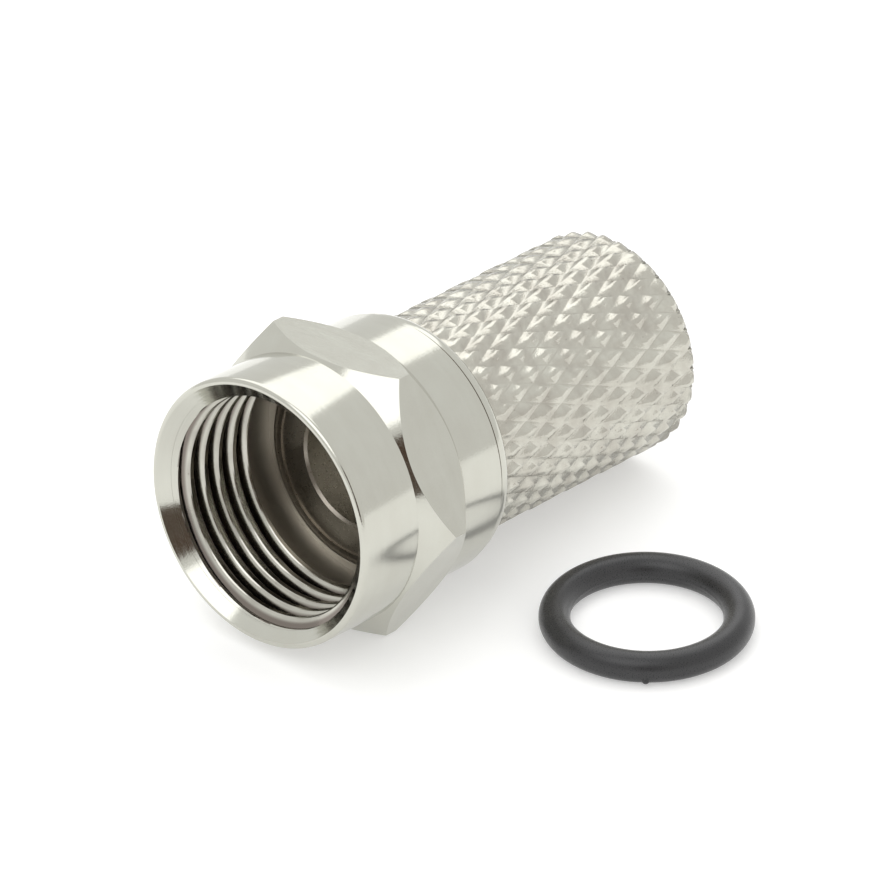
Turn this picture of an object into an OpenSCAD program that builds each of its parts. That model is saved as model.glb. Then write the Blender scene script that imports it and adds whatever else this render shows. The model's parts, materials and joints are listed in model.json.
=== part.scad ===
// Screw-on coaxial F connector with its weather seal.
// A hexagonal coupling nut turns on the neck of a diamond-knurled cable sleeve, whose flared lip
// holds it on. The connector lies on one flat of the nut and on the sleeve's rear rim, and the
// rubber O-ring lies flat beside it. Lengths run rearwards from the front face of the nut.

/* [Coupling nut] */
// Length of the nut from its front face to its rear face
nut_length = 8.6; // [8.2:0.1:9.4]
// Width across the flats of the hexagon
across_flats = 11; // [10.9:0.1:11.6]
// Diameter of the round collar in front of the hexagon
front_collar_d = 10.8; // [10.6:0.1:10.9]
// Length of the front collar, up to the hexagon's front chamfer
front_collar_length = 3; // [2.6:0.1:3.2]
// Radius of the rounded front edge
front_edge_radius = 0.2; // [0.1:0.05:0.25]
// Length of the hexagon's corners between the two chamfers
corner_length = 0.55; // [0.3:0.05:0.8]
// Angle between the hexagon's chamfers and the axis
chamfer_angle = 42; // [38:1:48]
// Diameter of the round collar behind the hexagon
rear_collar_d = 10.5; // [10.4:0.05:10.7]
// Length of the rolled lip behind the rear collar
rear_lip_length = 0.7; // [0.5:0.05:0.9]
// Step down from the rear collar to its lip
rear_lip_step = 0.1; // [0.05:0.01:0.2]
// Radius of the rounded rear edge
rear_edge_radius = 0.4; // [0.2:0.05:0.45]

/* [Coupling nut bore] */
// Diameter of the threaded wall, at the roots of the 3/8-32 thread
thread_wall_d = 9.52; // [9.5:0.01:9.6]
// Length of the threaded wall
thread_length = 3.9; // [3.6:0.1:4]
// Width of the chamfer at the mouth of the bore
mouth_chamfer = 0.4; // [0.3:0.02:0.42]
// Depth of the relief behind the thread, below the threaded wall
relief_depth = 0.18; // [0.16:0.01:0.22]
// Thickness of the rear web that turns on the neck
web_length = 2.5; // [2.2:0.1:2.7]

/* [Cable sleeve] */
// Diameter over the knurl
knurl_d = 8.96; // [8.8:0.02:9.1]
// Length of the knurled grip
knurl_length = 11.3; // [9:0.1:14]
// Diameter of the neck that carries the nut
neck_d = 7.8; // [7.6:0.05:7.9]
// Diameter of the flared lip in front of the nut's web
lip_d = 8.6; // [8.5:0.05:8.9]
// Thickness of the flared lip
lip_length = 0.6; // [0.4:0.05:0.65]
// Radius of the lip's rolled front edge
lip_edge_radius = 0.45; // [0.2:0.05:0.5]
// Depth of the shallow recess in the lip's front face
lip_recess = 0.08; // [0.04:0.01:0.12]
// Width of the narrow land round that recess
lip_land = 0.15; // [0.1:0.01:0.25]

/* [Knurl] */
// Number of grooves in each of the two crossing families
groove_count = 34; // [24:1:40]
// Angle between the grooves and the axis
helix_angle = 21.8; // [20:0.2:30]
// Depth of the grooves
groove_depth = 0.25; // [0.2:0.01:0.32]
// Share of a diamond left flat between the broad grooves
broad_land = 0.2; // [0.1:0.02:0.4]
// Share of a diamond left flat between the narrow grooves
narrow_land = 0.44; // [0.3:0.02:0.6]
// Chamfer at the rear rim
rear_chamfer = 0.2; // [0.1:0.01:0.24]

/* [Cable sleeve bore] */
// Diameter of the passage for the cable's insulation
passage_d = 5; // [4.8:0.1:5.2]
// Length of that passage
passage_length = 1.8; // [1.4:0.1:2.2]
// Chamfer at the passage's front edge
passage_chamfer = 0.1; // [0.05:0.01:0.2]
// Diameter of the wider throat behind the passage
throat_d = 5.4; // [5.3:0.1:5.8]
// Diameter of the cavity for the cable's jacket, at the roots of its thread
jacket_d = 7; // [6.8:0.05:7.2]
// Length of that cavity
jacket_length = 10.6; // [8:0.1:10.8]
// Chamfer at the cavity's rear mouth
jacket_chamfer = 0.3; // [0.1:0.05:0.4]

/* [Running clearances] */
// Gap all round between the neck and the nut's web
neck_clearance = 0.08; // [0.04:0.01:0.1]
// Gap between the lip and the nut's web
lip_gap = 0.1; // [0.05:0.01:0.2]
// Gap between the nut's rear face and the knurled grip
grip_gap = 0.3; // [0.2:0.01:0.4]

/* [O-ring] */
// Diameter of the ring's round section
ring_section_d = 1.2; // [1:0.05:1.4]
// Outside diameter of the ring
ring_d = 8.2; // [7.8:0.1:8.8]
// Free space between the sleeve's side and the ring
ring_gap = 1.6; // [1.2:0.1:6]
// Distance of the ring's centre behind the nut's front face
ring_setback = 10.6; // [8:0.2:14]

/* [Hidden] */
$fn = 96;

// A little extra length, so that cutters pass right through
pass = 1;

// Coupling nut
flat_r = across_flats / 2;
corner_r = flat_r / cos(30);
front_collar_r = front_collar_d / 2;
rear_collar_r = rear_collar_d / 2;
thread_wall_r = thread_wall_d / 2;
relief_r = thread_wall_r + relief_depth;
chamfer_slope = tan(chamfer_angle);
front_corner = front_collar_length + (corner_r - front_collar_r) / chamfer_slope;
rear_corner = front_corner + corner_length;
hexagon_end = rear_corner + (corner_r - rear_collar_r) / chamfer_slope;
rear_lip_start = nut_length - rear_lip_length;
rear_lip_r = rear_collar_r - rear_lip_step;
thread_end = mouth_chamfer + thread_length;
web_start = nut_length - web_length;
web_bore_r = neck_d / 2 + neck_clearance;

// Cable sleeve
knurl_r = knurl_d / 2;
root_r = knurl_r - groove_depth;
neck_r = neck_d / 2;
lip_r = lip_d / 2;
lip_end = web_start - lip_gap;
lip_start = lip_end - lip_length;
lip_shoulder_r = lip_r - lip_edge_radius;
knurl_start = nut_length + grip_gap;
sleeve_end = knurl_start + knurl_length;
passage_r = passage_d / 2;
passage_end = lip_start + passage_length;
throat_r = throat_d / 2;
jacket_r = jacket_d / 2;
jacket_start = sleeve_end - jacket_length;
throat_end = jacket_start - (jacket_r - throat_r);

// Knurl: a lattice of half diamonds, counted round the sleeve and along it
half_diamonds_round = 2 * groove_count;
half_diamond_angle = 360 / half_diamonds_round;
half_diamond_length = PI * knurl_r / groove_count / tan(helix_angle);
lattice_start = knurl_start - 1.3 * half_diamond_length;
lattice_rows = ceil(knurl_length / half_diamond_length + 2.6);

// Rest: the nut's flat and the sleeve's rear rim touch one level surface
flat_rest = hexagon_end - (flat_r - rear_collar_r) / chamfer_slope;
rim_rest = sleeve_end - rear_chamfer;
tilt = atan((flat_r - knurl_r) / (rim_rest - flat_rest));
surface_drop = flat_r * cos(tilt) + flat_rest * sin(tilt);

// O-ring
ring_section_r = ring_section_d / 2;
ring_centre_r = ring_d / 2 - ring_section_r;
ring_x = knurl_r + ring_gap + ring_d / 2;

// Places a piece, modelled along +Z from the nut's front face, on the tilted axis, with the start
// of the nut's thread at the origin, the front towards -Y and a flat of the hexagon down
module on_axis() {
    rotate([-90 - tilt, 0, 0])
        translate([0, 0, -mouth_chamfer])
            children();
}

// Half profile of a disc from z0 to z1 with its outer edge rounded at one end
module rounded_disc(r, z0, z1, edge, rounded_at_start) {
    edge_z = rounded_at_start ? z0 + edge : z1 - edge;
    plain_z0 = rounded_at_start ? edge_z : z0;
    plain_z1 = rounded_at_start ? z1 : edge_z;
    translate([0, plain_z0])
        square([r, plain_z1 - plain_z0]);
    translate([0, z0])
        square([r - edge, z1 - z0]);
    intersection() {
        translate([r - edge, edge_z])
            circle(r = edge);
        translate([0, z0])
            square([r, z1 - z0]);
    }
}

// Round body of the nut: front collar, rear collar and the rolled lip at the rear
module nut_collars() {
    rotate_extrude()
        rounded_disc(front_collar_r, 0, front_corner, front_edge_radius, true);
    translate([0, 0, front_corner])
        cylinder(r = rear_collar_r, h = rear_lip_start - front_corner);
    rotate_extrude()
        rounded_disc(rear_lip_r, rear_lip_start, nut_length, rear_edge_radius, false);
}

// Hexagon, with its corners turned away to a cone at each end
module nut_hexagon() {
    ridge_r = corner_r + corner_length / 2 * chamfer_slope;
    intersection() {
        translate([0, 0, front_collar_length - pass])
            cylinder(r = corner_r, h = hexagon_end - front_collar_length + 2 * pass, $fn = 6);
        rotate_extrude()
            polygon([
                [0, front_collar_length],
                [front_collar_r, front_collar_length],
                [ridge_r, (front_corner + rear_corner) / 2],
                [rear_collar_r, hexagon_end],
                [0, hexagon_end]
            ]);
    }
}

// Bore of the nut: chamfered mouth, threaded wall, relief and the bearing in the rear web
module nut_bore() {
    mouth_r = thread_wall_r + mouth_chamfer + pass;
    rotate_extrude()
        polygon([
            [0, -pass],
            [mouth_r, -pass],
            [thread_wall_r, mouth_chamfer],
            [thread_wall_r, thread_end],
            [relief_r, thread_end + relief_depth],
            [relief_r, web_start],
            [web_bore_r, web_start],
            [web_bore_r, nut_length + pass],
            [0, nut_length + pass]
        ]);
}

module coupling_nut() {
    color("#c9c7bd")
        on_axis()
            difference() {
                union() {
                    nut_collars();
                    nut_hexagon();
                }
                nut_bore();
            }
}

// A point of the knurl at h half diamonds round, m half diamonds along and radius r
function knurl_point(h, m, r) = [
    r * cos(h * half_diamond_angle),
    r * sin(h * half_diamond_angle),
    lattice_start + m * half_diamond_length
];

// Number of the lattice's own point at h, m, counted row by row
function lattice_index(h, m) = m * half_diamonds_round + h % half_diamonds_round;

// Middles of all the diamonds: a diamond lies where h and m are both odd or both even
diamonds = [
    for (m = [1 : lattice_rows - 1], h = [m % 2 : 2 : half_diamonds_round - 1]) [h, m]
];

// Corners of a diamond, from its right corner on to the rear, left and front ones
function diamond_corners(h, m) = [
    lattice_index(h + 1, m),
    lattice_index(h, m + 1),
    lattice_index(h + half_diamonds_round - 1, m),
    lattice_index(h, m - 1)
];

// The diamond's land is smaller than its base, so each groove between two diamonds is a V
function diamond_land(h, m) = [
    for (side = [[1, 1], [1, -1], [-1, -1], [-1, 1]])
        let (
            across_broad = side[0] * broad_land / 2,
            across_narrow = side[1] * narrow_land / 2
        )
        knurl_point(h + across_broad + across_narrow, m + across_broad - across_narrow, knurl_r)
];

// Faces of one diamond: four walls and the land
function diamond_faces(corners, land) = [
    for (side = [0 : 3])
        let (next = (side + 1) % 4)
        each [
            [corners[side], corners[next], land[next]],
            [corners[side], land[next], land[side]]
        ],
    [land[0], land[1], land[2]],
    [land[0], land[2], land[3]]
];

// Solid bar with the knurl all over, a little longer than the grip that is cut from it
module knurled_bar() {
    lattice_points = [
        for (m = [0 : lattice_rows], h = [0 : half_diamonds_round - 1]) knurl_point(h, m, root_r)
    ];
    land_points = [for (d = diamonds) each diamond_land(d[0], d[1])];
    first_land = len(lattice_points);
    centre = first_land + len(land_points);
    ends = [[0, 0, lattice_start], [0, 0, lattice_start + lattice_rows * half_diamond_length]];
    walls = [
        for (i = [0 : len(diamonds) - 1])
            each diamond_faces(
                diamond_corners(diamonds[i][0], diamonds[i][1]),
                [for (k = [0 : 3]) first_land + 4 * i + k]
            )
    ];
    // The first and last rows have a flat half diamond between each two grooves
    front_halves = [
        for (h = [1 : 2 : half_diamonds_round - 1])
            [lattice_index(h, 0), lattice_index(h + 1, 1), lattice_index(h + 2, 0)]
    ];
    rear_parity = (lattice_rows + 1) % 2;
    rear_halves = [
        for (h = [rear_parity : 2 : half_diamonds_round - 1])
            [
                lattice_index(h, lattice_rows),
                lattice_index(h + 2, lattice_rows),
                lattice_index(h + 1, lattice_rows - 1)
            ]
    ];
    front_cap = [
        for (h = [1 : 2 : half_diamonds_round - 1])
            [centre, lattice_index(h, 0), lattice_index(h + 2, 0)]
    ];
    rear_cap = [
        for (h = [rear_parity : 2 : half_diamonds_round - 1])
            [centre + 1, lattice_index(h + 2, lattice_rows), lattice_index(h, lattice_rows)]
    ];
    polyhedron(
        points = concat(lattice_points, land_points, ends),
        faces = concat(walls, front_halves, rear_halves, front_cap, rear_cap)
    );
}

// Cuts the knurled bar square at both ends and chamfers its rims
module grip_end_cuts() {
    reach = groove_depth + pass;
    rotate_extrude()
        polygon([
            [0, lattice_start - pass],
            [root_r + reach, lattice_start - pass],
            [root_r + reach, knurl_start + reach],
            [root_r, knurl_start],
            [0, knurl_start]
        ]);
    rear_rim_r = knurl_r - rear_chamfer;
    rotate_extrude()
        polygon([
            [0, sleeve_end],
            [rear_rim_r, sleeve_end],
            [rear_rim_r + reach, sleeve_end - reach],
            [rear_rim_r + reach, sleeve_end + 3 * half_diamond_length],
            [0, sleeve_end + 3 * half_diamond_length]
        ]);
}

// Neck that the nut turns on, and the lip flared over in front of it
module neck_and_lip() {
    translate([0, 0, lip_end])
        cylinder(r = neck_r, h = knurl_start + pass - lip_end);
    rotate_extrude()
        rounded_disc(lip_r, lip_start, lip_end, lip_edge_radius, true);
}

// Bore of the sleeve: recessed lip face, passage, throat, cone and jacket cavity
module sleeve_bore() {
    rotate_extrude()
        polygon([
            [0, lip_start - pass],
            [lip_shoulder_r - lip_land, lip_start - pass],
            [lip_shoulder_r - lip_land, lip_start + lip_recess],
            [passage_r + passage_chamfer, lip_start + lip_recess],
            [passage_r, lip_start + lip_recess + passage_chamfer],
            [passage_r, passage_end],
            [throat_r, passage_end],
            [throat_r, throat_end],
            [jacket_r, jacket_start],
            [jacket_r, sleeve_end - jacket_chamfer],
            [jacket_r + jacket_chamfer + pass, sleeve_end + pass],
            [0, sleeve_end + pass]
        ]);
}

module cable_sleeve() {
    color("#bdbcb0")
        on_axis()
            difference() {
                union() {
                    difference() {
                        knurled_bar();
                        grip_end_cuts();
                    }
                    neck_and_lip();
                }
                sleeve_bore();
            }
}

module o_ring() {
    color("#3a3a3c")
        translate([
            ring_x,
            ring_setback - mouth_chamfer,
            ring_section_r + mouth_chamfer * sin(tilt) - surface_drop
        ])
            rotate_extrude()
                translate([ring_centre_r, 0])
                    circle(r = ring_section_r);
}

coupling_nut();
cable_sleeve();
o_ring();
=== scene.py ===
import json
import random
from math import cos, hypot, pi, radians, sin, tan

import bmesh
import bpy
from mathutils import Matrix, Vector


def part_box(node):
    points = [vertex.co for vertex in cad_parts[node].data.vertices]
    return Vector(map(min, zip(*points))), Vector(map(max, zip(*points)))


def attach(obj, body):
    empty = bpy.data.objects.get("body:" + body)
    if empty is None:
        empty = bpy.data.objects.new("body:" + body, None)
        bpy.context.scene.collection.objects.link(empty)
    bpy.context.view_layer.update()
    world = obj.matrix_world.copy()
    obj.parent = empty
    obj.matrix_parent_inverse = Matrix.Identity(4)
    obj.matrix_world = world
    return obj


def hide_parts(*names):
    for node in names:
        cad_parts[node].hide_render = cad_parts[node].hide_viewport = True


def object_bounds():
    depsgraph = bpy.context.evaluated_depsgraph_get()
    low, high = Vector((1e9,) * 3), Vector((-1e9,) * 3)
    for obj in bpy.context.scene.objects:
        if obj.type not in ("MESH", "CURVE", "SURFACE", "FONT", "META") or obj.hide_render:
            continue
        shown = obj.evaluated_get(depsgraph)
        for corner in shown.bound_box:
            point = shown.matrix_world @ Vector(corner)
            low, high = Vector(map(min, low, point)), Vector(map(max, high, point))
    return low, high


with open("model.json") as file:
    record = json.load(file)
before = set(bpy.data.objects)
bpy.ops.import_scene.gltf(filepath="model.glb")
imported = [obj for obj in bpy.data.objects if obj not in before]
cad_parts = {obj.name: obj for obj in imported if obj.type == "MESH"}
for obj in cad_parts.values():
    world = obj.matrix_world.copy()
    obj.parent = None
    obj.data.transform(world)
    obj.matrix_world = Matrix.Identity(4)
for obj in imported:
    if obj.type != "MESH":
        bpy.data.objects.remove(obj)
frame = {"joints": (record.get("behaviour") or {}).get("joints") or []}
cad_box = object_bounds()

# Coupling nut. One turned and milled brass piece, nickel plated: a round collar, a short hexagon
# with its corners turned away, a second collar and a rear lip behind a narrow groove. It spins on
# the sleeve's neck, so it is modelled on the joint's axis, in millimetres from its front face.
mouth_chamfer = 0.4
joint = frame["joints"][0]
rearward = Vector(joint["axis"]).normalized()
sideways = Vector((1, 0, 0))
downward = rearward.cross(sideways)
axis_turn = Matrix((sideways, downward, rearward)).transposed()
axis_place = (
    Matrix.Translation(joint["pos_m"])
    @ axis_turn.to_4x4()
    @ Matrix.Scale(0.001, 4)
    @ Matrix.Translation((0, 0, -mouth_chamfer))
)


def rounding(centre_r, centre_z, radius, start, stop, count=7):
    """Points (r, z) of an arc, from one angle to the other in degrees, 0 outwards and 90 rearwards."""
    angles = [radians(start + (stop - start) * i / (count - 1)) for i in range(count)]
    return [(centre_r + radius * cos(a), centre_z + radius * sin(a)) for a in angles]


def turned(profile, steps=192):
    """A closed profile of (r, z) points turned round the axis."""
    bm = bmesh.new()
    loop = [bm.verts.new((r, 0, z)) for r, z in profile]
    edges = [bm.edges.new(pair) for pair in zip(loop, loop[1:] + loop[:1])]
    bmesh.ops.spin(
        bm, geom=loop + edges, cent=(0, 0, 0), axis=(0, 0, 1), dvec=(0, 0, 0),
        angle=2 * pi, steps=steps, use_merge=True,
    )
    bmesh.ops.recalc_face_normals(bm, faces=bm.faces)
    return bm


def finished(bm, name, place, material, body):
    """The bmesh as a smooth object in its place in the row frame, riding on its body."""
    bmesh.ops.transform(bm, matrix=place, verts=bm.verts)
    mesh = bpy.data.meshes.new(name)
    bm.to_mesh(mesh)
    bm.free()
    mesh.materials.append(material)
    mesh.shade_smooth()
    piece = bpy.data.objects.new(name, mesh)
    bpy.context.scene.collection.objects.link(piece)
    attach(piece, body)
    return piece


def add(nodes, kind, **values):
    """A new shader node of a kind, with its own settings set."""
    node = nodes.new(kind)
    for key, value in values.items():
        setattr(node, key, value)
    return node


def group_with(name, inputs, outputs):
    """An empty node group with named sockets, its input node and its output node."""
    group = bpy.data.node_groups.new(name, "ShaderNodeTree")
    for socket, kind in inputs:
        group.interface.new_socket(socket, in_out="INPUT", socket_type=kind)
    for socket, kind in outputs:
        group.interface.new_socket(socket, in_out="OUTPUT", socket_type=kind)
    return group, group.nodes.new("NodeGroupInput"), group.nodes.new("NodeGroupOutput")


def calculate(tree, operation, first, second=None):
    """A maths node on links or plain numbers, as its output socket."""
    node = add(tree.nodes, "ShaderNodeMath", operation=operation)
    for socket, value in zip(node.inputs, (first, second)):
        if isinstance(value, (int, float)):
            socket.default_value = value
        elif value is not None:
            tree.links.new(value, socket)
    return node.outputs[0]


# Turning marks: fine rings round the axis, from noise on radius and length alone.
turning, given, result = group_with(
    "turning_marks",
    [("Along axis", "NodeSocketVector"), ("Rings per mm", "NodeSocketFloat")],
    [("Rings", "NodeSocketFloat"), ("Bands", "NodeSocketFloat"), ("Radius", "NodeSocketFloat")],
)
parts = turning.nodes.new("ShaderNodeSeparateXYZ")
turning.links.new(given.outputs["Along axis"], parts.inputs[0])
radius_squared = calculate(
    turning, "ADD",
    calculate(turning, "POWER", parts.outputs["X"], 2.0),
    calculate(turning, "POWER", parts.outputs["Y"], 2.0),
)
radius_out = calculate(turning, "SQRT", radius_squared)
section = turning.nodes.new("ShaderNodeCombineXYZ")
turning.links.new(radius_out, section.inputs["X"])
turning.links.new(parts.outputs["Z"], section.inputs["Y"])
fine = add(turning.nodes, "ShaderNodeTexNoise", noise_dimensions="2D")
fine.inputs["Detail"].default_value = 2.0
turning.links.new(section.outputs[0], fine.inputs["Vector"])
turning.links.new(given.outputs["Rings per mm"], fine.inputs["Scale"])
broad = add(turning.nodes, "ShaderNodeTexNoise", noise_dimensions="2D")
broad.inputs["Scale"].default_value = 2.3
broad.inputs["Detail"].default_value = 3.0
turning.links.new(section.outputs[0], broad.inputs["Vector"])
turning.links.new(fine.outputs["Fac"], result.inputs["Rings"])
turning.links.new(broad.outputs["Fac"], result.inputs["Bands"])
turning.links.new(radius_out, result.inputs["Radius"])

# Plating: cloudy patches and the fine grain of a dull nickel coat.
plating, given, result = group_with(
    "plating_grain",
    [("Position", "NodeSocketVector")],
    [("Clouds", "NodeSocketFloat"), ("Grain", "NodeSocketFloat"), ("Specks", "NodeSocketFloat")],
)
clouds = add(plating.nodes, "ShaderNodeTexNoise", noise_dimensions="3D")
clouds.inputs["Scale"].default_value = 0.9
clouds.inputs["Detail"].default_value = 4.0
grain = add(plating.nodes, "ShaderNodeTexNoise", noise_dimensions="3D")
grain.inputs["Scale"].default_value = 14.0
grain.inputs["Detail"].default_value = 3.0
specks = add(plating.nodes, "ShaderNodeTexVoronoi", feature="F1")
specks.inputs["Scale"].default_value = 3.2
for texture in (clouds, grain, specks):
    plating.links.new(given.outputs["Position"], texture.inputs["Vector"])
speck_mask = add(plating.nodes, "ShaderNodeMapRange", clamp=True)
speck_mask.inputs["From Min"].default_value = 0.03
speck_mask.inputs["From Max"].default_value = 0.09
speck_mask.inputs["To Min"].default_value = 1.0
speck_mask.inputs["To Max"].default_value = 0.0
plating.links.new(specks.outputs["Distance"], speck_mask.inputs["Value"])
plating.links.new(clouds.outputs["Fac"], result.inputs["Clouds"])
plating.links.new(grain.outputs["Fac"], result.inputs["Grain"])
plating.links.new(speck_mask.outputs["Result"], result.inputs["Specks"])


def new_metal(name, light, dark, roughness, rings_per_mm, ring_depth, grain_depth, fades=None):
    """Plated metal with turning marks: its two tones, roughness range and depths in millimetres.
    The tone turns from light to dark between the two radii in fades, which may run either way; this is
    painted shade towards a groove's root."""
    metal = bpy.data.materials.new(name)
    metal.use_nodes = True
    tree = metal.node_tree
    shader = tree.nodes["Principled BSDF"]
    shader.inputs["Metallic"].default_value = 1.0
    place = tree.nodes.new("ShaderNodeTexCoord")
    mapping = add(tree.nodes, "ShaderNodeMapping", vector_type="TEXTURE")
    mapping.inputs["Location"].default_value = axis_place.translation
    mapping.inputs["Rotation"].default_value = axis_turn.to_euler()
    mapping.inputs["Scale"].default_value = (0.001, 0.001, 0.001)
    tree.links.new(place.outputs["Object"], mapping.inputs["Vector"])
    marks = add(tree.nodes, "ShaderNodeGroup", node_tree=turning)
    marks.inputs["Rings per mm"].default_value = rings_per_mm
    tree.links.new(mapping.outputs[0], marks.inputs["Along axis"])
    coat = add(tree.nodes, "ShaderNodeGroup", node_tree=plating)
    tree.links.new(mapping.outputs[0], coat.inputs["Position"])
    tone = add(tree.nodes, "ShaderNodeMapRange", clamp=True)
    tone.inputs["From Min"].default_value = 0.4
    tone.inputs["From Max"].default_value = 1.7
    mixed = calculate(
        tree, "ADD", coat.outputs["Clouds"], calculate(tree, "MULTIPLY", marks.outputs["Bands"], 0.6)
    )
    tree.links.new(calculate(tree, "ADD", mixed, coat.outputs["Specks"]), tone.inputs["Value"])
    amount = tone.outputs["Result"]
    if fades:
        # Painted shade: the tone darkens across the fades towards a groove's root.
        root_shade = add(tree.nodes, "ShaderNodeMapRange", clamp=True, interpolation_type="SMOOTHSTEP")
        root_shade.inputs["From Min"].default_value = min(fades)
        root_shade.inputs["From Max"].default_value = max(fades)
        root_shade.inputs["To Min"].default_value = 0.0 if fades[0] < fades[1] else 1.0
        root_shade.inputs["To Max"].default_value = 1.0 if fades[0] < fades[1] else 0.0
        tree.links.new(marks.outputs["Radius"], root_shade.inputs["Value"])
        amount = calculate(tree, "MAXIMUM", amount, root_shade.outputs["Result"])
    colour = add(tree.nodes, "ShaderNodeMix", data_type="RGBA")
    colour.inputs["A"].default_value = (*light, 1)
    colour.inputs["B"].default_value = (*dark, 1)
    tree.links.new(amount, colour.inputs["Factor"])
    tree.links.new(colour.outputs["Result"], shader.inputs["Base Color"])
    gloss = add(tree.nodes, "ShaderNodeMapRange", clamp=True)
    gloss.inputs["From Min"].default_value = 0.3
    gloss.inputs["From Max"].default_value = 0.7
    gloss.inputs["To Min"].default_value = roughness[0]
    gloss.inputs["To Max"].default_value = roughness[1]
    tree.links.new(coat.outputs["Grain"], gloss.inputs["Value"])
    tree.links.new(gloss.outputs["Result"], shader.inputs["Roughness"])
    ring_bump = tree.nodes.new("ShaderNodeBump")
    ring_bump.inputs["Distance"].default_value = ring_depth * 0.001
    tree.links.new(marks.outputs["Rings"], ring_bump.inputs["Height"])
    grain_bump = tree.nodes.new("ShaderNodeBump")
    grain_bump.inputs["Distance"].default_value = grain_depth * 0.001
    tree.links.new(coat.outputs["Grain"], grain_bump.inputs["Height"])
    tree.links.new(ring_bump.outputs["Normal"], grain_bump.inputs["Normal"])
    tree.links.new(grain_bump.outputs["Normal"], shader.inputs["Normal"])
    return metal


# Bright plating outside, duller plating in the bore, and a darker copy of the plating that paints
# shade on the nut's rear groove, the sleeve's lip and passage and the knurl's front chamfer.
nut_metal = new_metal(
    "nut_nickel", light=(0.565, 0.565, 0.51), dark=(0.5, 0.49, 0.435),
    roughness=(0.09, 0.15), rings_per_mm=9.0, ring_depth=0.0012, grain_depth=0.0012,
)
bore_metal = new_metal(
    "bore_nickel", light=(0.62, 0.59, 0.53), dark=(0.48, 0.45, 0.4),
    roughness=(0.34, 0.44), rings_per_mm=9.0, ring_depth=0.0015, grain_depth=0.0002,
)
painted_shade_metal = new_metal(
    "painted_shade_nickel", light=(0.36, 0.33, 0.285), dark=(0.25, 0.22, 0.185),
    roughness=(0.26, 0.34), rings_per_mm=9.0, ring_depth=0.0015, grain_depth=0.0002,
)

nut_length = 8.6
across_flats = 11.0
front_collar_r = 5.4
front_collar_length = 3.0
front_edge_radius = 0.2
corner_length = 0.55
chamfer_slope = tan(radians(42))
rear_collar_r = 5.25
rear_lip_length = 0.7
rear_lip_r = 5.15
rear_groove = 0.14
rear_edge_radius = 0.4
thread_wall_r = 4.76
thread_length = 3.9
relief_depth = 0.18
web_length = 2.5
web_bore_r = 3.98
margin = 0.01
crease_angle = radians(28)

flat_r = across_flats / 2
corner_r = flat_r / cos(radians(30))
ridge_r = corner_r + corner_length / 2 * chamfer_slope
front_corner = front_collar_length + (corner_r - front_collar_r) / chamfer_slope
rear_corner = front_corner + corner_length
hexagon_end = rear_corner + (corner_r - rear_collar_r) / chamfer_slope
rear_lip_start = nut_length - rear_lip_length
thread_end = mouth_chamfer + thread_length
relief_r = thread_wall_r + relief_depth
mouth_r = thread_wall_r + mouth_chamfer

nut = turned(
    [(mouth_r, 0)]
    + rounding(front_collar_r - front_edge_radius, front_edge_radius, front_edge_radius, -90, 0)
    + [
        (front_collar_r, front_collar_length),
        (ridge_r, (front_corner + rear_corner) / 2),
        (rear_collar_r, hexagon_end),
        (rear_collar_r, rear_lip_start),
        (rear_lip_r - rear_groove, rear_lip_start + rear_groove / 2),
        (rear_lip_r, rear_lip_start + rear_groove),
    ]
    + rounding(rear_lip_r - rear_edge_radius, nut_length - rear_edge_radius, rear_edge_radius, 0, 90)
    + [
        (web_bore_r, nut_length),
        (web_bore_r, nut_length - web_length),
        (relief_r, nut_length - web_length),
        (relief_r, thread_end + relief_depth),
        (thread_wall_r, thread_end),
        (thread_wall_r, mouth_chamfer),
    ]
)
for side in range(6):
    outward = Vector((cos(radians(30 + 60 * side)), sin(radians(30 + 60 * side)), 0))
    cut = bmesh.ops.bisect_plane(
        nut, geom=nut.verts[:] + nut.edges[:] + nut.faces[:], dist=1e-5,
        plane_co=outward * flat_r, plane_no=outward, clear_outer=True,
    )
    rim = [item for item in cut["geom_cut"] if isinstance(item, bmesh.types.BMEdge)]
    bmesh.ops.holes_fill(nut, edges=rim, sides=0)
bmesh.ops.recalc_face_normals(nut, faces=nut.faces)
outside_metal, inside_metal, groove_shade = range(3)
for face in nut.faces:
    middle = face.calc_center_median()
    bore_r = relief_r if middle.z < nut_length - web_length + margin else web_bore_r
    in_bore = hypot(middle.x, middle.y) < bore_r + margin and middle.z > mouth_chamfer + margin
    # Painted shade: the rear groove gets the darker plating, so it shows as a dark line.
    if rear_lip_start < middle.z < rear_lip_start + rear_groove:
        face.material_index = groove_shade
    else:
        face.material_index = inside_metal if in_bore else outside_metal
nut_piece = finished(nut, "nut_shell", axis_place, nut_metal, "nut")
nut_piece.data.materials.append(bore_metal)
nut_piece.data.materials.append(painted_shade_metal)
nut_piece.data.set_sharp_from_angle(angle=crease_angle)
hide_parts("coupling_nut")

# Thread of the nut. Right-handed, 32 turns to the inch, cut in the bore with its crests turned
# flat, so it shows as bright narrow lands between V grooves darkened towards their roots by painted
# shade. The mouth's cone runs on over its first turn, and its foot is sunk a little way into the
# bore's wall.
inch = 25.4
thread_pitch = inch / 32
thread_turns = 6
thread_start = 0.03
thread_crest_r = 4.4
thread_crest = 0.22
crest_inset = 0.02
edge_drop = 0.03
edge_reach = 0.017
foot_sink = 0.03
cone_cover = 0.01
thread_crease_angle = radians(25)
thread_foot_r = thread_wall_r + foot_sink
thread_foot = thread_crest + 2 * (thread_foot_r - thread_crest_r) * tan(radians(30))


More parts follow.
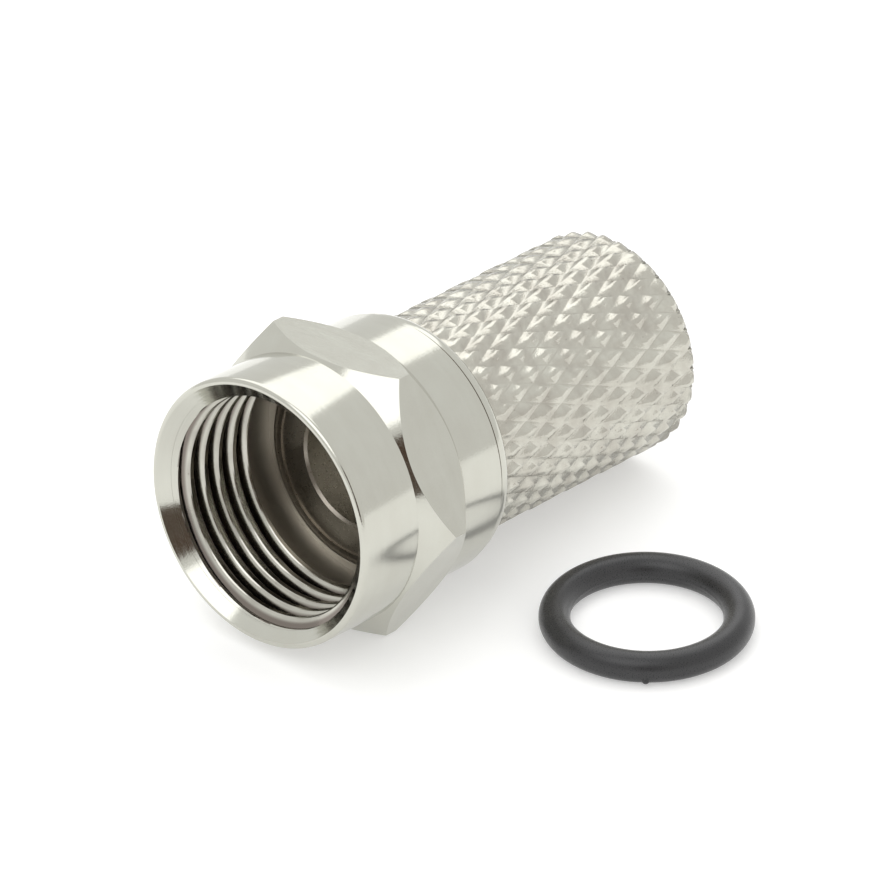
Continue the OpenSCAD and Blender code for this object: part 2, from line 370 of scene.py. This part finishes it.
def helix(profile, pitch, turns, steps_per_turn=120):
    """A closed ridge profile of (r, z) points carried round and along a right-handed helix."""
    bm = bmesh.new()
    loop = [bm.verts.new((r, 0, z)) for r, z in profile]
    edges = [bm.edges.new(pair) for pair in zip(loop, loop[1:] + loop[:1])]
    bmesh.ops.spin(
        bm, geom=loop + edges, cent=(0, 0, 0), axis=(0, 0, 1),
        dvec=(0, 0, pitch / steps_per_turn), angle=2 * pi * turns,
        steps=round(steps_per_turn * turns), use_merge=False,
    )
    return bm


def divided(profile, count):
    """The profile's points with each stretch between them divided into equal parts."""
    return [
        (a[0] + (b[0] - a[0]) * i / count, a[1] + (b[1] - a[1]) * i / count)
        for a, b in zip(profile, profile[1:] + profile[:1]) for i in range(count)
    ]


def trim(bm, low, high):
    """Cuts a ridge square at its low and high end, and closes the cuts."""
    for height, outward in ((low, -1), (high, 1)):
        cut = bmesh.ops.bisect_plane(
            bm, geom=bm.verts[:] + bm.edges[:] + bm.faces[:], dist=1e-5,
            plane_co=(0, 0, height), plane_no=(0, 0, outward), clear_outer=True,
        )
        rim = [item for item in cut["geom_cut"] if isinstance(item, bmesh.types.BMEdge)]
        bmesh.ops.holes_fill(bm, edges=rim, sides=0)
    bmesh.ops.recalc_face_normals(bm, faces=bm.faces)


thread_ridge = [
    (thread_foot_r, -thread_foot / 2),
    (thread_crest_r + edge_drop, -thread_crest / 2 - edge_reach),
    (thread_crest_r, -thread_crest / 2 + crest_inset),
    (thread_crest_r, thread_crest / 2 - crest_inset),
    (thread_crest_r + edge_drop, thread_crest / 2 + edge_reach),
    (thread_foot_r, thread_foot / 2),
]
thread = helix(divided(thread_ridge, 8), thread_pitch, thread_turns)
trim(thread, thread_start, thread_end)
for vert in thread.verts:
    radius = hypot(vert.co.x, vert.co.y)
    least = mouth_r + cone_cover - vert.co.z
    if radius < least:
        vert.co.x *= least / radius
        vert.co.y *= least / radius
# Painted shade: the thread's tone darkens from just outside the crest towards the roots.
crest_metal = new_metal(
    "thread_nickel", light=(0.58, 0.575, 0.515), dark=(0.2, 0.175, 0.155),
    roughness=(0.1, 0.16), rings_per_mm=12.0, ring_depth=0.001, grain_depth=0.0006,
    fades=(thread_crest_r + 0.05, thread_crest_r + 0.24),
)
cone_reach = mouth_r + cone_cover + 0.001
for face in thread.faces:
    on_cone = all(hypot(v.co.x, v.co.y) + v.co.z < cone_reach for v in face.verts)
    face.material_index = 1 if on_cone else 0
thread_piece = finished(thread, "nut_thread", axis_place, crest_metal, "nut")
thread_piece.data.materials.append(nut_metal)
thread_piece.data.set_sharp_from_angle(angle=thread_crease_angle)

# Cable sleeve. Turned brass, nickel plated: its front end is flared into the lip that holds the
# nut, and it is bored through for the cable's insulation and, wider, for its jacket. Under the
# knurl, which is a piece of its own, it has a plain core.
knurl_r = 4.48
groove_depth = 0.25
knurl_length = 11.3
grip_gap = 0.3
neck_r = 3.9
lip_r = 4.3
lip_length = 0.6
lip_gap = 0.1
lip_edge_radius = 0.45
lip_recess = 0.08
lip_land = 0.15
rear_chamfer = 0.2
passage_r = 2.5
passage_length = 1.8
passage_chamfer = 0.1
throat_r = 2.7
jacket_r = 3.5
jacket_length = 10.6
jacket_chamfer = 0.3
core_depth = 0.1

root_r = knurl_r - groove_depth
core_r = root_r - core_depth
knurl_start = nut_length + grip_gap
sleeve_end = knurl_start + knurl_length
lip_end = nut_length - web_length - lip_gap
lip_start = lip_end - lip_length
recess_r = lip_r - lip_edge_radius - lip_land
jacket_start = sleeve_end - jacket_length

body = turned(
    [(recess_r, lip_start)]
    + rounding(lip_r - lip_edge_radius, lip_start + lip_edge_radius, lip_edge_radius, -90, 0, 9)
    + [
        (lip_r, lip_end),
        (neck_r, lip_end),
        (neck_r, knurl_start),
        (core_r, knurl_start),
        (core_r, sleeve_end),
        (jacket_r + jacket_chamfer, sleeve_end),
        (jacket_r, sleeve_end - jacket_chamfer),
        (jacket_r, jacket_start),
        (throat_r, jacket_start - (jacket_r - throat_r)),
        (throat_r, lip_start + passage_length),
        (passage_r, lip_start + passage_length),
        (passage_r, lip_start + lip_recess + passage_chamfer),
        (passage_r + passage_chamfer, lip_start + lip_recess),
        (recess_r, lip_start + lip_recess),
    ]
)
sleeve_metal = new_metal(
    "sleeve_nickel", light=(0.84, 0.83, 0.78), dark=(0.7, 0.68, 0.62),
    roughness=(0.16, 0.26), rings_per_mm=12.0, ring_depth=0.002, grain_depth=0.001,
)
# Painted shade: the lip inside the nut's bore and the narrow passage get the darker plating.
for face in body.faces:
    middle = face.calc_center_median()
    in_passage = hypot(middle.x, middle.y) < throat_r and middle.z < lip_start + passage_length
    face.material_index = 1 if in_passage or middle.z < lip_end else 0
body_piece = finished(body, "sleeve_body", axis_place, sleeve_metal, "sleeve")
body_piece.data.materials.append(painted_shade_metal)
body_piece.data.set_sharp_from_angle(angle=crease_angle)
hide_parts("cable_sleeve")

# Jacket thread: a coarse rolled ridge in the rear bore, which bites into the cable's jacket.
jacket_pitch = 1.25
jacket_turns = 9
jacket_lead = 0.2
jacket_ridge = 0.3
ridge_crest_r = jacket_r - jacket_ridge
ridge_edge_drop = 0.05
half_crest = 0.04
half_edge = 0.1
half_foot = 0.4
coarse = helix(
    [
        (jacket_r + foot_sink, -half_foot),
        (ridge_crest_r + ridge_edge_drop, -half_edge),
        (ridge_crest_r, -half_crest),
        (ridge_crest_r, half_crest),
        (ridge_crest_r + ridge_edge_drop, half_edge),
        (jacket_r + foot_sink, half_foot),
    ],
    jacket_pitch, jacket_turns,
)
bmesh.ops.translate(coarse, verts=coarse.verts, vec=(0, 0, jacket_start - jacket_lead))
trim(coarse, jacket_start, sleeve_end - jacket_chamfer - jacket_lead)
coarse_piece = finished(
    coarse, "jacket_thread", axis_place, sleeve_metal, "sleeve"
)
coarse_piece.data.set_sharp_from_angle(angle=thread_crease_angle)

# Knurl of the grip. Two crossing families of V grooves rolled into the sleeve leave rows of
# small flat-topped diamonds, a little uneven in height, and both rims are chamfered. It is made
# as a flat sheet of square cells, turned and stretched into diamonds, then rolled into a tube.
groove_count = 34
helix_angle = 21.8
broad_wall = 0.4
narrow_wall = 0.28
root_flat = 0.03
land_radius = 0.045
land_sink = 0.022
land_shift_around = 0.012
land_shift_along = 0.02

# Half a diamond's width round the sleeve and half its length along it. The lattice starts a little
# before the grip, so that the rims cut through its rows. The sheet has enough cells each way to
# cover the grip, and its middle lies this many cells along each family.
half_width = 2 * pi * knurl_r / (2 * groove_count)
half_length = half_width / tan(radians(helix_angle))
lattice_lead = 1.3
lattice_start = knurl_start - lattice_lead * half_length
stretch = broad_wall / narrow_wall
cells = 43
middle_u = 20
middle_v = 14

sheet = bmesh.new()
bmesh.ops.create_grid(sheet, x_segments=cells, y_segments=cells, size=cells / 2)
bmesh.ops.scale(sheet, vec=(1, stretch, 1), verts=sheet.verts)
lands = sheet.faces[:]
bmesh.ops.inset_individual(
    sheet, faces=lands, thickness=broad_wall, depth=groove_depth, use_even_offset=True
)
to_flat_sleeve = Matrix((
    (half_width, half_width / stretch, 0, (middle_u + middle_v) * half_width),
    (half_length, -half_length / stretch, 0, (middle_u - middle_v) * half_length + lattice_start),
    (0, 0, 1, 0),
    (0, 0, 0, 1),
))
bmesh.ops.transform(sheet, matrix=to_flat_sleeve, verts=sheet.verts)
bmesh.ops.reverse_faces(sheet, faces=sheet.faces)

chance = random.Random(7)
around = 2 * groove_count * half_width
for land in lands:
    middle = land.calc_center_median()
    whole = half_width < middle.x < around - half_width
    for vert in land.verts:
        if whole:
            vert.co.z -= chance.uniform(0, land_sink)
            vert.co.x += chance.uniform(-land_shift_around, land_shift_around)
            vert.co.y += chance.uniform(-land_shift_along, land_shift_along)
roots = [e for e in sheet.edges if max(v.co.z for v in e.verts) < 1e-6 and len(e.link_faces) == 2]
land_edges = list(dict.fromkeys(edge for land in lands for edge in land.edges))
bmesh.ops.bevel(
    sheet, geom=roots, offset=root_flat, offset_type="OFFSET", segments=1, profile=0.5,
    material=-1, affect="EDGES", clamp_overlap=True,
)
bmesh.ops.bevel(
    sheet, geom=land_edges, offset=land_radius, offset_type="OFFSET", segments=3, profile=0.5,
    material=-1, affect="EDGES", clamp_overlap=True,
)


def cut_sheet(point, normal, clear):
    """Cuts the flat sheet along a plane, and clears what lies on the normal's side of it."""
    bmesh.ops.bisect_plane(
        sheet, geom=sheet.verts[:] + sheet.edges[:] + sheet.faces[:], dist=1e-6,
        plane_co=point, plane_no=normal, clear_outer=clear,
    )


cut_sheet((0, 0, 0), (-1, 0, 0), True)
cut_sheet((around, 0, 0), (1, 0, 0), True)
cut_sheet((0, knurl_start, 0), (0, -1, 0), True)
cut_sheet((0, sleeve_end, 0), (0, 1, 0), True)
cut_sheet((0, knurl_start, 0), (0, -1, 1), False)
cut_sheet((0, sleeve_end - rear_chamfer, groove_depth), (0, 1, 1), False)
for vert in sheet.verts:
    front_cone = vert.co.y - knurl_start
    rear_cone = sleeve_end - rear_chamfer + groove_depth - vert.co.y
    vert.co.z = min(vert.co.z, front_cone, rear_cone)
rims = [
    edge for edge in sheet.edges
    if len(edge.link_faces) == 1
    and (
        all(abs(v.co.y - knurl_start) < 1e-4 for v in edge.verts)
        or all(abs(v.co.y - sleeve_end) < 1e-4 for v in edge.verts)
    )
]
inner = bmesh.ops.extrude_edge_only(sheet, edges=rims)
for item in inner["geom"]:
    if isinstance(item, bmesh.types.BMVert):
        item.co.z = core_r - root_r
for vert in sheet.verts:
    angle = vert.co.x / knurl_r
    radius = root_r + vert.co.z
    vert.co = (radius * cos(angle), radius * sin(angle), vert.co.y)
bmesh.ops.remove_doubles(sheet, verts=sheet.verts, dist=1e-4)
bmesh.ops.recalc_face_normals(sheet, faces=sheet.faces)
# Painted shade: the knurl's tone darkens towards the groove roots and the foot of the rims' chamfers.
knurl_metal = new_metal(
    "knurl_nickel", light=(0.62, 0.615, 0.55), dark=(0.28, 0.245, 0.21),
    roughness=(0.14, 0.24), rings_per_mm=8.0, ring_depth=0.003, grain_depth=0.008,
    fades=(root_r + 0.05, root_r - 0.04),
)
# Painted shade: the front chamfer beside the nut gets the darker plating, for the shade and dark
# reflection of the narrow gap.
cone_margin = 0.02
for face in sheet.faces:
    middle = face.calc_center_median()
    cone_r = root_r + middle.z - knurl_start
    near_nut = middle.z < knurl_start + groove_depth
    on_cone = near_nut and hypot(middle.x, middle.y) > cone_r - cone_margin
    face.material_index = 1 if on_cone else 0
knurl = finished(sheet, "sleeve_knurl", axis_place, knurl_metal, "sleeve")
knurl.data.materials.append(painted_shade_metal)
flat_lands = knurl.modifiers.new("flat_faces", "WEIGHTED_NORMAL")
flat_lands.weight = 60

# O-ring. Moulded black rubber, loose beside the plug: a round section with the thin flash line
# of its two-part mould round the inside, and the stub of the sprue low on one side. It is left
# out of mirror reflections, so that the bright plating beside it stays clear.
ring_low, ring_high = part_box("o_ring")
ring_middle = (ring_low + ring_high) / 2
ring_section_r = (ring_high.z - ring_low.z) * 500
ring_centre_r = (ring_high.x - ring_low.x) * 500 - ring_section_r
flash_height = 0.015
flash_half_width = 0.02
stub_r = 0.16
stub_inset = 0.1
stub_drop = 0.28
stub_side = radians(-50)
ring_place = Matrix.Translation(ring_middle) @ Matrix.Scale(0.001, 4)
section_points = rounding(ring_centre_r, 0, ring_section_r, -176, 176, 45)
ring = turned(
    [(r, z) for r, z in section_points if abs(z) > flash_half_width or r < ring_centre_r]
    + [(ring_centre_r - ring_section_r - flash_height, 0)],
    steps=160,
)
stub_place = Vector((ring_centre_r + ring_section_r - stub_inset, 0, -stub_drop))
bmesh.ops.create_uvsphere(
    ring, u_segments=16, v_segments=10, radius=stub_r,
    matrix=Matrix.Rotation(stub_side, 4, "Z") @ Matrix.Translation(stub_place),
)
rubber = bpy.data.materials.new("moulded_rubber")
rubber.use_nodes = True
tree = rubber.node_tree
shader = tree.nodes["Principled BSDF"]
place = tree.nodes.new("ShaderNodeTexCoord")
mapping = add(tree.nodes, "ShaderNodeMapping", vector_type="TEXTURE")
mapping.inputs["Location"].default_value = ring_middle
mapping.inputs["Scale"].default_value = (0.001, 0.001, 0.001)
tree.links.new(place.outputs["Object"], mapping.inputs["Vector"])
bloom = add(tree.nodes, "ShaderNodeTexNoise")
bloom.inputs["Scale"].default_value = 1.1
bloom.inputs["Detail"].default_value = 5.0
tree.links.new(mapping.outputs[0], bloom.inputs["Vector"])
pores = add(tree.nodes, "ShaderNodeTexNoise")
pores.inputs["Scale"].default_value = 22.0
pores.inputs["Detail"].default_value = 3.0
tree.links.new(mapping.outputs[0], pores.inputs["Vector"])
tone = add(tree.nodes, "ShaderNodeMix", data_type="RGBA")
tone.inputs["A"].default_value = (0.013, 0.013, 0.014, 1)
tone.inputs["B"].default_value = (0.03, 0.03, 0.032, 1)
tree.links.new(bloom.outputs["Fac"], tone.inputs["Factor"])
tree.links.new(tone.outputs["Result"], shader.inputs["Base Color"])
gloss = add(tree.nodes, "ShaderNodeMapRange")
gloss.inputs["To Min"].default_value = 0.2
gloss.inputs["To Max"].default_value = 0.38
tree.links.new(pores.outputs["Fac"], gloss.inputs["Value"])
tree.links.new(gloss.outputs["Result"], shader.inputs["Roughness"])
relief = tree.nodes.new("ShaderNodeBump")
relief.inputs["Distance"].default_value = 0.000008
tree.links.new(pores.outputs["Fac"], relief.inputs["Height"])
tree.links.new(relief.outputs["Normal"], shader.inputs["Normal"])
ring_piece = finished(ring, "rubber_ring", ring_place, rubber, "sleeve")
ring_piece.visible_glossy = False
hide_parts("o_ring")

# Table top and light: a plain pale floor under the part, white surroundings with one bright and
# two dark patches for the plating to mirror, and one large soft lamp. The camera has a long lens.
floor_z = cad_box[0].z
floor_half_width = 1.5
floor = bmesh.new()
bmesh.ops.create_grid(floor, x_segments=1, y_segments=1, size=floor_half_width)
bmesh.ops.translate(floor, verts=floor.verts, vec=(0, 0, floor_z))
floor_mesh = bpy.data.meshes.new("floor")
floor.to_mesh(floor_mesh)
floor.free()
paper = bpy.data.materials.new("white_paper")
paper.use_nodes = True
tree = paper.node_tree
shader = tree.nodes["Principled BSDF"]
shader.inputs["Roughness"].default_value = 0.9
shader.inputs["Emission Color"].default_value = (1, 1, 1, 1)
shader.inputs["Emission Strength"].default_value = 0.38
fibres = add(tree.nodes, "ShaderNodeTexNoise")
fibres.inputs["Scale"].default_value = 900.0
pale = add(tree.nodes, "ShaderNodeMix", data_type="RGBA")
pale.inputs["A"].default_value = (0.68, 0.68, 0.675, 1)
pale.inputs["B"].default_value = (0.71, 0.71, 0.705, 1)
place = tree.nodes.new("ShaderNodeTexCoord")
tree.links.new(place.outputs["Object"], fibres.inputs["Vector"])
tree.links.new(fibres.outputs["Fac"], pale.inputs["Factor"])
tree.links.new(pale.outputs["Result"], shader.inputs["Base Color"])
floor_mesh.materials.append(paper)
floor_piece = bpy.data.objects.new("floor", floor_mesh)
bpy.context.scene.collection.objects.link(floor_piece)

world = bpy.data.worlds.new("studio")
world.use_nodes = True
bpy.context.scene.world = world
tree = world.node_tree
surroundings = tree.nodes["Background"]
gaze = tree.nodes.new("ShaderNodeTexCoord")


def patch(azimuth, elevation, inner, outer):
    """A round patch of the surroundings: 1 within the inner angle, 0 beyond the outer one.
    It is placed by its angle from the front towards the right, and its angle above the floor."""
    heading = radians(azimuth)
    rise = radians(elevation)
    direction = (sin(heading) * cos(rise), -cos(heading) * cos(rise), sin(rise))
    across = add(tree.nodes, "ShaderNodeVectorMath", operation="DOT_PRODUCT")
    tree.links.new(gaze.outputs["Generated"], across.inputs[0])
    across.inputs[1].default_value = direction
    mask = add(tree.nodes, "ShaderNodeMapRange", interpolation_type="SMOOTHSTEP")
    mask.inputs["From Min"].default_value = cos(radians(outer))
    mask.inputs["From Max"].default_value = cos(radians(inner))
    tree.links.new(across.outputs["Value"], mask.inputs["Value"])
    return mask.outputs["Result"]


def blended(below, colour, amount):
    """The colour laid over what is below it by that amount."""
    mix = add(tree.nodes, "ShaderNodeMix", data_type="RGBA")
    if isinstance(below, tuple):
        mix.inputs["A"].default_value = below
    else:
        tree.links.new(below, mix.inputs["A"])
    mix.inputs["B"].default_value = colour
    tree.links.new(amount, mix.inputs["Factor"])
    return mix.outputs["Result"]


white_tent = (0.95, 0.95, 0.935, 1)
shaded_side = (0.92, 0.91, 0.89, 1)
bright_window = (2.1, 2.1, 2.1, 1)
dark_gap = (0.1, 0.065, 0.045, 1)
brown_table = (0.12, 0.09, 0.07, 1)
lit = blended(white_tent, shaded_side, patch(79, -6, 20, 80))
lit = blended(lit, bright_window, patch(8, 54, 20, 23))
lit = blended(lit, dark_gap, patch(43, 26, 9, 11))
lit = blended(lit, brown_table, patch(47, 8, 12, 15))
tree.links.new(lit, surroundings.inputs["Color"])
surroundings.inputs["Strength"].default_value = 1.0

lamp_place = Vector((-0.3, 0.25, 0.6))
lamp_aim = Vector((0, 0.01, 0))
lamp = bpy.data.lights.new("top_lamp", "AREA")
lamp.size = 0.8
lamp.energy = 2.0
lamp_object = bpy.data.objects.new("top_lamp", lamp)
lamp_object.location = lamp_place
lamp_object.rotation_euler = (lamp_aim - lamp_place).to_track_quat("-Z", "Y").to_euler()
bpy.context.scene.collection.objects.link(lamp_object)

camera_data = bpy.data.cameras.new("camera")
camera_data.lens = 496.55
camera_data.sensor_width = 36
camera_data.clip_start = 0.01
camera_data.clip_end = 10
camera = bpy.data.objects.new("camera", camera_data)
camera.location = (0.25777, -0.28172, 0.23731)
view_direction = Vector((-0.56498, 0.63859, -0.52250))
camera.rotation_euler = view_direction.to_track_quat("-Z", "Y").to_euler()
bpy.context.scene.collection.objects.link(camera)
bpy.context.scene.camera = camera
bpy.context.scene.view_settings.view_transform = "Standard"
